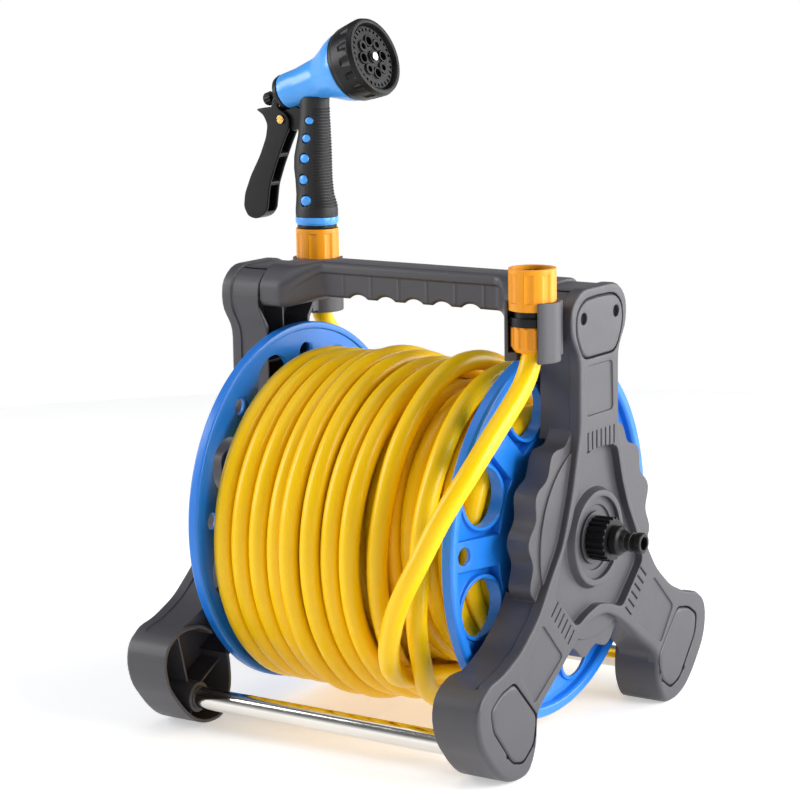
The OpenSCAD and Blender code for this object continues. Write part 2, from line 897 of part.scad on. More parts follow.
// The barrel's frame: s runs along it as X
module at_barrel() {
    at_nozzle() translate([barrel_start[0], 0, barrel_start[1]]) rotate([0, -barrel_tilt, 0]) children();
}

module nozzle_nipple() {
    seat = sleeve_top + 1;
    color(black) at_nozzle()
        difference() {
            union() {
                translate([0, 0, seat - 28]) cylinder(h = 16, r = 8.4);
                translate([0, 0, seat - 12.5]) cylinder(h = 12.5, r = 7.6);
                translate([0, 0, seat - 0.5]) cylinder(h = 2.5, r = 17);
            }
            translate([0, 0, seat - 30]) cylinder(h = 40, r = 4.5);
        }
}

module nozzle_collar() {
    color(light_blue) at_nozzle()
        difference() {
            union() {
                translate([0, 0, sleeve_top + 3]) cylinder(h = 2.5, r1 = 17.2, r2 = 18.4);
                translate([0, 0, sleeve_top + 5.5]) cylinder(h = grip_bottom - sleeve_top - 5.5, r = 18.4);
            }
            translate([0, 0, 200]) cylinder(h = 60, r = neck_r);
        }
}

module nozzle_body() {
    color(light_blue) {
        at_barrel()
            difference() {
                turned([[0, -18], [14.6, -18], [15.4, -16], [15.6, 0], [17.5, 18], [18.5, 24], [22, 32], [27, 42], [29.5, 49],
                    [30, 52], [0, 52]]);
                rod(9, -20, 40);
                rod(26, 46, 60);
            }
        at_nozzle()
            difference() {
                translate([0, 0, sleeve_top + 3]) cylinder(h = grip_top - sleeve_top + 2, r = neck_r);
                translate([0, 0, 200]) cylinder(h = grip_top - 202, r = 6.5);
            }
    }
}

// The grip's section at a few heights: [z, middle x, half width in x, half width in y]
grip_shape = [[231, 0, 18.6, 17.4], [237, 0, 18.8, 17.2], [243, -0.5, 18, 16], [250, -1.5, 16.8, 14.8],
    [262, -2.5, 16.6, 14.4], [272, -3.2, 17, 14.7], [282, -3, 16.8, 14.6], [291, -2, 15.8, 13.8], [300, -1, 14.6, 12.8],
    [308, -0.7, 14.1, 12.5], [318, -0.4, 13.2, 12.2], [327, 0, 12.9, 12.2], [333, 0.4, 12.8, 12.2]];

module nozzle_grip() {
    color(black) at_nozzle()
        difference() {
            skin([for (g = grip_shape) [for (k = [0:27]) let (a = k * 360 / 28) [g[1] + g[2] * cos(a), g[3] * sin(a), g[0]]]]);
            translate([0, 0, 200]) cylinder(h = 200, r = neck_r);
            barrel_shadow();
            dot_shapes();
            lever_lug();
        }
}

// The barrel's round underside, cut out of what meets it
module barrel_shadow() {
    translate([barrel_start[0], 0, barrel_start[1]])
        rotate([0, -barrel_tilt, 0])
            turned([[0, -40], [15.7, -40], [15.7, 0], [17.6, 18], [18.7, 24], [22.2, 32], [0, 32]]);
}

// Each dot: [height, middle across X, half width, how far out it stands]
dots = [[313, 2.1, 3.8, 12.9], [298, -0.8, 4.2, 13.4], [281, -2, 4.6, 15.2], [263, -3.7, 4.8, 15.1],
    [245, -0.8, 5.2, 16.3]];

module dot_shapes() {
    for (d = dots)
        translate([d[1], 3.4 - d[3], d[0]]) rotate([90, 0, 0]) cylinder(h = 3.4, r = d[2]);
}

module nozzle_grip_dots() {
    color(light_blue) at_nozzle() dot_shapes();
}

// The lug behind the neck that the lever hangs on
module lever_lug() {
    side_slab([[-38, 330], [-30, 336], [-20, 326], [-11.5, 322], [-12.5, 306], [-20, 303], [-27, 307], [-34, 309],
        [-36, 318]], -4.5, 4.5);
}

module nozzle_back_cap() {
    color(black) {
        at_barrel()
            difference() {
                turned([[0, -24], [11, -24], [14.5, -22.5], [15.6, -18], [0, -18]]);
                rod(2.6, -30, 0);
            }
        at_nozzle()
            difference() {
                lever_lug();
                barrel_shadow();
                translate([lever_pivot[0], 0, lever_pivot[1]]) rotate([90, 0, 0]) cylinder(h = 40, r = 2.05, center = true);
            }
    }
}

lever_pivot = [-30, 313];
lever_outline = [[-57, 321], [-46, 323], [-41, 322], [-38.5, 331], [-35, 334], [-33, 322], [-26, 319], [-22, 314], [-22, 306],
    [-30, 290], [-38, 272], [-44, 256], [-46, 243], [-47, 235], [-52, 229], [-60, 226], [-68, 228], [-72.5, 236],
    [-71, 248], [-64, 264], [-54, 281], [-47, 297], [-45, 308], [-49, 316]];

module nozzle_lever() {
    half_w = 8;
    outline = rounded(anticlockwise(lever_outline), 3, 3);
    color(black) at_nozzle()
        difference() {
            side_slab(outline, -half_w, half_w);
            // the fork round the neck's lug and the stem
            side_slab([[-20, 345], [-20, 300], [-33, 300], [-40, 312], [-43, 345]], -4.9, 4.9);
            // the hollow inside, with its ribs
            difference() {
                side_slab([[-33, 302], [-24, 300], [-40, 262], [-42, 236], [-54, 231], [-64, 232], [-67, 240],
                    [-58, 264], [-47, 286], [-40, 302]], -5.2, 5.2);
                for (i = [0:4])
                    translate([-40 - i * 5, 0, 290 - i * 12.5]) rotate([0, i % 2 == 0 ? 50 : -20, 0])
                        cube([30, 20, 1.6], center = true);
                side_slab([[-45, 312], [-47, 297], [-54, 281], [-64, 264], [-71, 248], [-72.5, 236], [-68, 228],
                    [-60, 232], [-66, 240], [-60, 258], [-50, 279], [-42, 297], [-40, 306]], -8, 8);
            }
            translate([lever_pivot[0], 0, lever_pivot[1]]) rotate([90, 0, 0]) cylinder(h = 40, r = 2.05, center = true);
        }
}

module lever_screw() {
    color(brass) at_nozzle() translate([lever_pivot[0], 0, lever_pivot[1]])
        rotate([90, 0, 0]) {
            cylinder(h = 18.4, r = 2, center = true);
            for (end = [-1, 1])
                scale([1, 1, end]) difference() {
                    translate([0, 0, 8.1]) cylinder(h = 1.6, r = 3.6);
                    translate([-5, -0.4, 9]) cube([10, 0.8, 2]);
                }
        }
}

module valve_stem() {
    color(black) at_barrel() {
        rod(2.5, -40, 30);
        rod(6, 30, 34);
        rod(5, -41, -33.5);
        for (a = [0:30:330])
            rotate([a, 0, 0]) translate([-40, 4.6, -0.6]) cube([6, 1.2, 1.2]);
    }
}

// The spring in front of the stem's disc, at its squeezed length, as a stack of rings
module valve_spring() {
    color(steel) at_barrel()
        for (i = [0:4])
            o_ring(6.8 + i * 4.4, 5.7, 0.7);
}

dial_back = 52.4;
dial_front = 80;

module nozzle_dial() {
    r = dial_d / 2;
    grips = 16;
    color(black) at_barrel()
        difference() {
            turned([[0, dial_back], [30.4, dial_back], [30.8, 56], [32, 57], [32.6, 62], [r - 0.4, 71], [r, 76], [r - 1.5, dial_front],
                [r - 5, dial_front], [r - 6.5, 75], [0, 75]]);
            rod(2.2, 40, 90);
            rod(26.5, 40, 68);
            for (i = [0:grips - 1])
                rotate([i * 360 / grips, 0, 0]) translate([66, r + 4.2, 0]) rod(6, 0, 9, 6.2);
            for (i = [0:7])
                rotate([i * 45, 0, 0]) translate([0, 15, 0]) rod(5, 66, 78);
        }
}

module nozzle_face_plate() {
    r = dial_d / 2 - 7.5;
    color(black) at_barrel()
        difference() {
            union() {
                rod(r, 75, 76.5);
                rod(5.5, 76, 78);
                for (i = [0:7])
                    rotate([i * 45, 0, 0]) translate([0, 14, 0]) difference() {
                        rod(5.2, 76, 78);
                        rod(i % 2 == 0 ? 3.6 : 2.6, 70, 80);
                    }
            }
            rod(2.2, 60, 90);
            for (i = [0:7])
                rotate([i * 45, 0, 0]) translate([0, 14, 0]) rod(i % 2 == 0 ? 3.6 : 2.6, 74.2, 80);
            for (i = [0:29])
                rotate([i * 12, 0, 0]) translate([73, r - 3.6, -1]) cube([6, 2.6, 2]);
        }
}

module dial_screw() {
    color(steel) at_barrel()
        translate([80, 0, 0]) screw(3.8, 2, 2.1, 34);
}

side_frame_right();
side_frame_left();
head_cap_right();
head_cap_left();
head_cap_screws();
foot_caps_right();
foot_caps_left();
bearing_bush_right();
bearing_bush_left();
handle_bar();
handle_screws();
front_tube();
rear_tube();
tube_plugs();
tube_screws();
hose_clip_front();
hose_clip_rear();
clip_screws();
drum_barrel();
flange_right();
flange_left();
drum_screws();
spindle_right();
spindle_left();
spindle_o_rings();
outlet_elbow();
outlet_nut();
inlet_connector();
inlet_nut();
inlet_o_ring();
crank_arm();
crank_screw();
crank_pin();
crank_knob();
hose_coil();
hose_wrap();
hose_tail();
hose_lead();
front_connector_sleeve();
front_connector_body();
front_connector_nut();
front_connector_collet();
rear_connector_sleeve();
rear_connector_body();
rear_connector_nut();
rear_connector_collet();
nozzle_nipple();
nozzle_collar();
nozzle_body();
nozzle_grip();
nozzle_grip_dots();
nozzle_back_cap();
nozzle_lever();
lever_screw();
valve_stem();
valve_spring();
nozzle_dial();
nozzle_face_plate();
dial_screw();
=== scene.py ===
"""The looks of the garden hose reel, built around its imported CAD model."""

import json
import math

import bmesh
import bpy
from mathutils import Matrix, Vector
from mathutils.bvhtree import BVHTree

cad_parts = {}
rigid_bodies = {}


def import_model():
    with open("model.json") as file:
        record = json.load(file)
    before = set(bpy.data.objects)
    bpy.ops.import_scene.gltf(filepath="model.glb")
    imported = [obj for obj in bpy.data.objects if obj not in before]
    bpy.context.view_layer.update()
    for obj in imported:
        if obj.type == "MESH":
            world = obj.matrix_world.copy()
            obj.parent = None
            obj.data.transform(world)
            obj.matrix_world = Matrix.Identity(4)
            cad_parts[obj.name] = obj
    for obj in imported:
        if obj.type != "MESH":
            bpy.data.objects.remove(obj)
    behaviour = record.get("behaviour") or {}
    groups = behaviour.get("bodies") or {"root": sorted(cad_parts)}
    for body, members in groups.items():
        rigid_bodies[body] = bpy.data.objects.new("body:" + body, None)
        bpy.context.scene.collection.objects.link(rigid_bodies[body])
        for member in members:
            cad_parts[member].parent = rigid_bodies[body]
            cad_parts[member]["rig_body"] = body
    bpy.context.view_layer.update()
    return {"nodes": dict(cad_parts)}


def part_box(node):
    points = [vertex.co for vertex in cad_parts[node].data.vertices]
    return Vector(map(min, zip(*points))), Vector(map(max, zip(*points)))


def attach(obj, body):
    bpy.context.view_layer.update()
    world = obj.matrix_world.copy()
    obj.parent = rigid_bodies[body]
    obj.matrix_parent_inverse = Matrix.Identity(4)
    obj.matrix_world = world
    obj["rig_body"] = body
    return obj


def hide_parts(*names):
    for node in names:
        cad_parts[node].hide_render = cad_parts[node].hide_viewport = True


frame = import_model()
scene = bpy.context.scene
scene.view_settings.view_transform = "Standard"

MM = 0.001
AXLE = Vector((0.021, 0, 0.164))
HOSE_D = 0.0165
COIL_HALF = 0.107


# ---------- camera ----------

AZIMUTH = 33.982
ELEVATION = 10.329
ROLL = -0.891
DISTANCE = 2.1753
LOOKED_AT = Vector((0.00324, -0.00265, 0.25798))
LENS = 119.97


def make_camera():
    """Looks at LOOKED_AT from AZIMUTH degrees round from the front towards the right."""
    camera = bpy.data.objects.new("camera", bpy.data.cameras.new("camera"))
    scene.collection.objects.link(camera)
    azimuth, elevation = math.radians(AZIMUTH), math.radians(ELEVATION)
    back = Vector((math.sin(azimuth) * math.cos(elevation), -math.cos(azimuth) * math.cos(elevation),
                   math.sin(elevation)))
    turn = back.to_track_quat("Z", "Y").to_matrix().to_4x4() @ Matrix.Rotation(math.radians(ROLL), 4, "Z")
    camera.matrix_world = Matrix.Translation(LOOKED_AT + back * DISTANCE) @ turn
    camera.data.lens = LENS
    camera.data.sensor_width = 36
    camera.data.clip_start = 0.05
    camera.data.clip_end = 200
    scene.camera = camera


make_camera()


# ---------- hose ----------

def on_reel(angle, x, r, drop=0.0):
    """A point wound round the axle: angle in degrees, from the bottom up over the front."""
    a = math.radians(angle)
    return AXLE + Vector((x, -r * math.sin(a), -drop - r * math.cos(a)))


def ease(t):
    t = min(max(t, 0.0), 1.0)
    return t * t * (3 - 2 * t)


def smooth(points, step):
    """Points about one step apart on the rounded line through the given ones."""
    out = []
    n = len(points)
    for i in range(n - 1):
        p0, p1 = points[max(i - 1, 0)], points[i]
        p2, p3 = points[i + 1], points[min(i + 2, n - 1)]
        count = max(1, round((p2 - p1).length / step))
        for k in range(count):
            t = k / count
            out.append(0.5 * (2 * p1 + (p2 - p0) * t + (2 * p0 - 5 * p1 + 4 * p2 - p3) * t * t
                              + (3 * p1 - p0 - 3 * p2 + p3) * t ** 3))
    out.append(points[-1])
    return out


def relaxed(points, rounds):
    """The same line with its tight kinks eased; its ends stay."""
    for _ in range(rounds):
        points = ([points[0]] + [(a + 2 * b + c) / 4 for a, b, c in zip(points, points[1:], points[2:])]
                  + [points[-1]])
    return points


def swept(name, lines, radius, resolution, thin_ends=1.0):
    """A round bar's mesh along each line of points."""
    curve = bpy.data.curves.new(name, "CURVE")
    curve.dimensions = "3D"
    curve.bevel_depth = radius
    curve.bevel_resolution = resolution
    curve.use_fill_caps = True
    for points in lines:
        spline = curve.splines.new("POLY")
        spline.points.add(len(points) - 1)
        for place, point in zip(spline.points, points):
            place.co = (*point, 1)
        spline.points[0].radius = spline.points[-1].radius = thin_ends
    carrier = bpy.data.objects.new(name, curve)
    scene.collection.objects.link(carrier)
    bpy.context.view_layer.update()
    mesh = bpy.data.meshes.new_from_object(carrier.evaluated_get(bpy.context.evaluated_depsgraph_get()))
    bpy.data.objects.remove(carrier)
    mesh.shade_smooth()
    obj = bpy.data.objects.new(name, mesh)
    scene.collection.objects.link(obj)
    return obj


def inner_hose():
    """Three tight layers, from the water outlet at the right flange."""
    radii = [0.0772, 0.0918, 0.1064]
    points = []
    turn_points = 36
    climb = 0.5
    turns = 12.7
    angle = 205
    for k in range(int(climb * turn_points)):
        t = k / (climb * turn_points)
        points.append(on_reel(angle + 360 * climb * t, 0.102 + (COIL_HALF - 0.102) * ease(t),
                              0.061 + (radii[0] - 0.061) * ease(t)))
    angle += 360 * climb
    side = 1
    for layer, r in enumerate(radii):
        count = int(turns * turn_points)
        for k in range(count):
            t = k / count
            x = side * COIL_HALF * (1 - 2 * t)
            lift = 0.0
            if layer and k < turn_points * 0.4:
                lift = (radii[layer - 1] - r) * (1 - ease(k / (turn_points * 0.4)))
            points.append(on_reel(angle + 360 * turns * t, x, r + lift))
        angle += 360 * turns
        side = -side
    return points


# The rear connector's end, over the left flange and in under the reel, from the axle
LEAD = [(-0.1495, 0.070, 0.160), (-0.1495, 0.071, 0.147), (-0.149, 0.076, 0.137), (-0.1465, 0.086, 0.126),
        (-0.144, 0.104, 0.110), (-0.1415, 0.122, 0.0945), (-0.1385, 0.138, 0.0785), (-0.1325, 0.150, 0.0615),
        (-0.124, 0.159, 0.044), (-0.116, 0.1635, 0.026), (-0.1105, 0.1635, 0.008), (-0.108, 0.1585, -0.026),
        (-0.106, 0.147, -0.058), (-0.1055, 0.128, -0.084), (-0.106, 0.104, -0.104), (-0.1065, 0.076, -0.119)]
# From under the reel, over the right flange and up to the front connector
TAIL = [(0.050, -0.015, -0.1225), (0.050, -0.035, -0.1195), (0.050, -0.055, -0.1145), (0.050, -0.076, -0.111),
        (0.051, -0.097, -0.107), (0.053, -0.118, -0.101), (0.0585, -0.136, -0.088), (0.066, -0.149, -0.071),
        (0.077, -0.160, -0.049), (0.087, -0.166, -0.029), (0.098, -0.168, -0.010), (0.108, -0.1665, 0.008),
        (0.116, -0.1635, 0.0255), (0.124, -0.159, 0.044), (0.1325, -0.150, 0.0615), (0.1385, -0.138, 0.0785),
        (0.1415, -0.122, 0.0945), (0.144, -0.104, 0.110), (0.1465, -0.086, 0.126), (0.149, -0.076, 0.137),
        (0.1495, -0.071, 0.147), (0.1495, -0.070, 0.160)]
# The front of the turn that hangs loose, below and before the drum
LOOP = [(0.063, -0.045, -0.141), (0.062, -0.090, -0.1175), (0.073, -0.110, -0.097), (0.077, -0.122, -0.076),
        (0.078, -0.128, -0.052), (0.076, -0.120, -0.025)]


def outer_hose():
    """The loose outer layer between the two connectors, in one line."""
    r, sag, pitch = 0.1330, 0.0094, 0.01744
    turns = 8
    key = [AXLE + Vector(p) for p in LEAD]
    wound = []
    for k in range(int(-21 / 12), turns * 30 + 1):
        angle = k * 12
        turn = angle / 360
        lean = 0.0
        out = 0.0
        if 3.2 < turn < 6.0:
            out = 0.0050 * math.sin(math.pi * (turn - 3.2) / 2.8)
            lean = 0.0018 * math.sin(2 * math.pi * (turn - 3.2) / 1.4)
        out += 0.0009 * math.sin(turn * 2.3 * math.pi) * max(0, -math.cos(math.radians(angle)))
        wound.append(on_reel(angle, -COIL_HALF + pitch * turn + lean, r + max(out, 0), sag))
    # the turn with the hump on top, then down behind
    hump = [on_reel(30, 0.0345, 0.1385), on_reel(60, 0.0375, 0.1295), on_reel(90, 0.0400, 0.1235),
            on_reel(125, 0.0435, 0.1235), on_reel(150, 0.0480, 0.1300), on_reel(168, 0.0520, 0.1350),
            on_reel(185, 0.0555, 0.1320), on_reel(205, 0.0570, 0.1255), on_reel(230, 0.0580, 0.1235),
            on_reel(260, 0.0600, 0.1235), on_reel(290, 0.0625, 0.1245), on_reel(320, 0.0640, 0.1310),
            on_reel(342, 0.0640, 0.1420), on_reel(0, 0.0635, 0.1480)]
    loop = [AXLE + Vector(p) for p in LOOP]
    # the last turn crosses behind, back to the middle
    last = [on_reel(100, 0.0800, 0.1225), on_reel(125, 0.0830, 0.1230), on_reel(150, 0.0810, 0.1230),
            on_reel(175, 0.0765, 0.1230), on_reel(195, 0.0765, 0.1270), on_reel(212, 0.0750, 0.1350),
            on_reel(230, 0.0690, 0.1405), on_reel(250, 0.0605, 0.1415), on_reel(270, 0.0520, 0.1410),
            on_reel(288, 0.0455, 0.1360), on_reel(305, 0.0430, 0.1275), on_reel(325, 0.0445, 0.1235),
            on_reel(345, 0.0485, 0.1235)]
    key += wound + hump + loop + last + [AXLE + Vector(p) for p in TAIL]
    return relaxed(smooth(key, 0.008), 6)


hose_slot = "hose_pvc"
wound_points = inner_hose()
wound_hose = swept("hose_on_drum", [wound_points], HOSE_D / 2, 5)
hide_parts("hose_coil")
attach(wound_hose, "reel")

loose_points = outer_hose()
loose_hose = swept("hose_outer_layer", [loose_points], HOSE_D / 2, 5)
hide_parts("hose_wrap", "hose_tail", "hose_lead")
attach(loose_hose, "frame")


# ---------- materials ----------

def material(name, colour, rough, metal=0.0, speck=0.0, grain=0.0, grain_size=400.0, shine=0.5):
    """A procedural finish: a base colour with slow mottling, an uneven roughness and a fine grain."""
    mat = bpy.data.materials.new(name)
    mat.use_nodes = True
    tree = mat.node_tree
    shader = tree.nodes["Principled BSDF"]
    shader.inputs["Metallic"].default_value = metal
    shader.inputs["Roughness"].default_value = rough
    shader.inputs["Specular IOR Level"].default_value = shine
    coords = tree.nodes.new("ShaderNodeTexCoord")
    mottle = tree.nodes.new("ShaderNodeTexNoise")
    mottle.inputs["Scale"].default_value = 22
    mottle.inputs["Detail"].default_value = 4
    tree.links.new(coords.outputs["Object"], mottle.inputs["Vector"])
    ramp = tree.nodes.new("ShaderNodeValToRGB")
    ramp.color_ramp.elements[0].position = 0.25
    ramp.color_ramp.elements[1].position = 0.75
    ramp.color_ramp.elements[0].color = (*[c * (1 - speck) for c in colour], 1)
    ramp.color_ramp.elements[1].color = (*[min(1, c * (1 + speck)) for c in colour], 1)
    tree.links.new(mottle.outputs["Fac"], ramp.inputs["Fac"])
    tree.links.new(ramp.outputs["Color"], shader.inputs["Base Color"])
    wear = tree.nodes.new("ShaderNodeTexNoise")
    wear.inputs["Scale"].default_value = 60
    wear.inputs["Detail"].default_value = 3
    tree.links.new(coords.outputs["Object"], wear.inputs["Vector"])
    span = tree.nodes.new("ShaderNodeMapRange")
    span.inputs["To Min"].default_value = max(0.02, rough - 0.05)
    span.inputs["To Max"].default_value = min(1, rough + 0.05)
    tree.links.new(wear.outputs["Fac"], span.inputs["Value"])
    tree.links.new(span.outputs["Result"], shader.inputs["Roughness"])
    if grain:
        fine = tree.nodes.new("ShaderNodeTexNoise")
        fine.inputs["Scale"].default_value = grain_size
        fine.inputs["Detail"].default_value = 2
        tree.links.new(coords.outputs["Object"], fine.inputs["Vector"])
        bump = tree.nodes.new("ShaderNodeBump")
        bump.inputs["Strength"].default_value = grain
        bump.inputs["Distance"].default_value = 0.0006
        tree.links.new(fine.outputs["Fac"], bump.inputs["Height"])
        tree.links.new(bump.outputs["Normal"], shader.inputs["Normal"])
    return mat


FINISH = {}


def add(name, colour, rough, **more):
    FINISH[name] = material(name, colour, rough, **more)


add("frame_plastic", (0.055, 0.053, 0.060), 0.44, speck=0.05, grain=0.14, grain_size=900)
add("reel_plastic", (0.012, 0.180, 0.660), 0.30, speck=0.05, grain=0.04, grain_size=300)
add("nozzle_plastic", (0.060, 0.330, 0.840), 0.24, speck=0.04, grain=0.03, grain_size=300)
add("hose_pvc", (0.930, 0.570, 0.002), 0.30, speck=0.025, grain=0.012, grain_size=90, shine=0.32)
add("connector_plastic", (0.800, 0.300, 0.004), 0.32, speck=0.03, grain=0.02, grain_size=300, shine=0.35)
add("black_plastic", (0.007, 0.007, 0.008), 0.36, speck=0.08, grain=0.04, grain_size=700, shine=0.24)
add("bush_plastic", (0.035, 0.035, 0.038), 0.35, speck=0.04, grain=0.03)
add("black_rubber", (0.008, 0.008, 0.009), 0.50, speck=0.10, grain=0.12, grain_size=1400, shine=0.4)
add("tube_steel", (0.760, 0.740, 0.700), 0.13, metal=1.0, speck=0.02, grain=0.01, grain_size=50)
add("screw_steel", (0.620, 0.610, 0.600), 0.24, metal=1.0, speck=0.05, grain=0.02)
add("black_screw", (0.014, 0.014, 0.015), 0.32, metal=0.6, speck=0.08, grain=0.04)
add("pivot_brass", (0.720, 0.450, 0.150), 0.26, metal=1.0, speck=0.05, grain=0.02)


def paint(obj, name):
    obj.data.materials.clear()
    obj.data.materials.append(FINISH[name])


paint(wound_hose, hose_slot)
paint(loose_hose, hose_slot)


# ---------- finished meshes of the CAD parts ----------

# What each part is made of, and how wide its edges are rounded, in mm (0: it stays as it is)
PARTS = {
    "frame_plastic": {"side_frame_right": 0.7, "side_frame_left": 0.7, "head_cap_right": 0.6,
                      "head_cap_left": 0.6, "foot_caps_right": 0.6, "foot_caps_left": 0.6,
                      "hose_clip_front": 0.8, "hose_clip_rear": 0.8, "crank_arm": 1.4},
    "reel_plastic": {"flange_right": 0.7, "flange_left": 0.7, "drum_barrel": 0.5},
    "nozzle_plastic": {"nozzle_collar": 0.6, "nozzle_body": 0.5},
    "connector_plastic": {"front_connector_sleeve": 0.4, "front_connector_nut": 0.5,
                          "rear_connector_sleeve": 0.4, "rear_connector_nut": 0.5},
    "black_plastic": {"front_connector_body": 0.5, "front_connector_collet": 0.3, "rear_connector_body": 0.5,
                      "rear_connector_collet": 0.3, "spindle_right": 0, "spindle_left": 0.5,
                      "outlet_elbow": 0, "outlet_nut": 0, "inlet_connector": 0.3, "inlet_nut": 0.45,
                      "crank_knob": 0.8,
                      "nozzle_nipple": 0.4, "nozzle_back_cap": 0.6, "nozzle_lever": 0.9, "valve_stem": 0.25,
                      "nozzle_dial": 0.6, "nozzle_face_plate": 0.25, "tube_plugs": 0},
    "black_rubber": {"nozzle_grip": 0.6, "spindle_o_rings": 0, "inlet_o_ring": 0},
    "bush_plastic": {"bearing_bush_right": 0.4, "bearing_bush_left": 0.4},
    "tube_steel": {"front_tube": 0.3, "rear_tube": 0.3},
    "screw_steel": {"handle_screws": 0, "tube_screws": 0.2, "clip_screws": 0.2, "drum_screws": 0.3,
                    "crank_screw": 0.3, "crank_pin": 0.4, "valve_spring": 0, "dial_screw": 0.25},
    "black_screw": {"head_cap_screws": 0.25},
    "pivot_brass": {"lever_screw": 0.25},
}


def clean_mesh(node):
    """The part's mesh with its coplanar triangles joined."""
    bm = bmesh.new()
    bm.from_mesh(frame["nodes"][node].data)
    bmesh.ops.remove_doubles(bm, verts=bm.verts, dist=2e-6)
    bmesh.ops.dissolve_limit(bm, angle_limit=math.radians(0.6), verts=bm.verts, edges=bm.edges)
    bmesh.ops.triangulate(bm, faces=[f for f in bm.faces if len(f.verts) > 4], ngon_method="BEAUTY")
    bm.normal_update()
    return bm


def round_edges(obj, width):
    edge = obj.modifiers.new("edge", "BEVEL")
    edge.limit_method = "ANGLE"
    edge.angle_limit = math.radians(33)
    edge.width = width * MM
    edge.segments = 2
    edge.use_clamp_overlap = False
    edge.loop_slide = False
    flat = obj.modifiers.new("normals", "WEIGHTED_NORMAL")
    flat.keep_sharp = True


def outer_rim(bm, x):
    """The edges of the outermost loop in the upright plane at x."""
    edges = [e for e in bm.edges if all(abs(v.co.x - x) < 2e-5 for v in e.verts)
             and len(e.link_faces) == 2 and e.calc_face_angle(0) > 0.6]
    start = min(edges, key=lambda e: min(v.co.z for v in e.verts))
    found, todo = {start}, [start]
    while todo:
        edge = todo.pop()
        for v in edge.verts:
            for other in v.link_edges:
                if other in edges and other not in found:
                    found.add(other)
                    todo.append(other)
    return found


def finished(node, slot_name, width):
    bm = clean_mesh(node)
    if node.startswith("side_frame"):
        layer = bm.edges.layers.float.new("bevel_weight_edge")
        face = max(abs(v.co.x - AXLE.x) for v in bm.verts)
        x = AXLE.x + (face if node.endswith("right") else -face)
        for edge in outer_rim(bm, x):
            z = sum(v.co.z for v in edge.verts) / 2
            edge[layer] = 0.5 + 0.5 * ease((0.085 - z) / 0.03)
    mesh = bpy.data.meshes.new(node + "_finished")
    bm.to_mesh(mesh)
    bm.free()
    obj = bpy.data.objects.new(node + "_finished", mesh)
    scene.collection.objects.link(obj)
    mesh.shade_smooth()
    if node.startswith("side_frame"):
        rim = obj.modifiers.new("rim", "BEVEL")
        rim.limit_method = "WEIGHT"
        rim.width = 4.4 * MM
        rim.segments = 4
        rim.use_clamp_overlap = False
        rim.loop_slide = False
    round_edges(obj, width)
    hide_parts(node)
    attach(obj, frame["nodes"][node]["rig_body"])
    paint(obj, slot_name)
    return obj


def new_piece(name, verts, faces, body, slot_name, edge_width, *nodes):
    """A mesh that stands for CAD parts, with its edges rounded by edge_width mm."""
    mesh = bpy.data.meshes.new(name)
    mesh.from_pydata([tuple(v) for v in verts], [], faces)
    bm = bmesh.new()
    bm.from_mesh(mesh)
    bmesh.ops.remove_doubles(bm, verts=bm.verts, dist=1e-6)
    bmesh.ops.recalc_face_normals(bm, faces=bm.faces)
    bm.to_mesh(mesh)
    bm.free()
    mesh.shade_smooth()
    mesh.set_sharp_from_angle(angle=math.radians(38))
    obj = bpy.data.objects.new(name, mesh)
    scene.collection.objects.link(obj)
    if edge_width:
        round_edges(obj, edge_width)
    if nodes:
        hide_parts(*nodes)
    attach(obj, body)
    paint(obj, slot_name)
    return obj


def loft(rings):
    """Vertices and faces through rings of the same count, with closed ends."""
    n = len(rings[0])
    verts = [v for ring in rings for v in ring]
    faces = [(k * n + i, k * n + (i + 1) % n, (k + 1) * n + (i + 1) % n, (k + 1) * n + i)
             for k in range(len(rings) - 1) for i in range(n)]
    faces += [tuple(range(n)), tuple(reversed(range(len(verts) - n, len(verts))))]
    return verts, faces


def rounded(points, reach):
    """An open outline with its inner corners turned into short curves."""
    out = [points[0]]
    for a, c, b, r in zip(points, points[1:], points[2:], reach):
        a, c, b = Vector(a), Vector(c), Vector(b)
        start = c + (a - c).normalized() * min(r, (a - c).length * 0.48)
        end = c + (b - c).normalized() * min(r, (b - c).length * 0.48)
        for k in range(5):
            t = k / 4
            q = (1 - t) ** 2 * start + 2 * t * (1 - t) * c + t * t * end
            out.append((q.x, q.y))
    return out + [points[-1]]


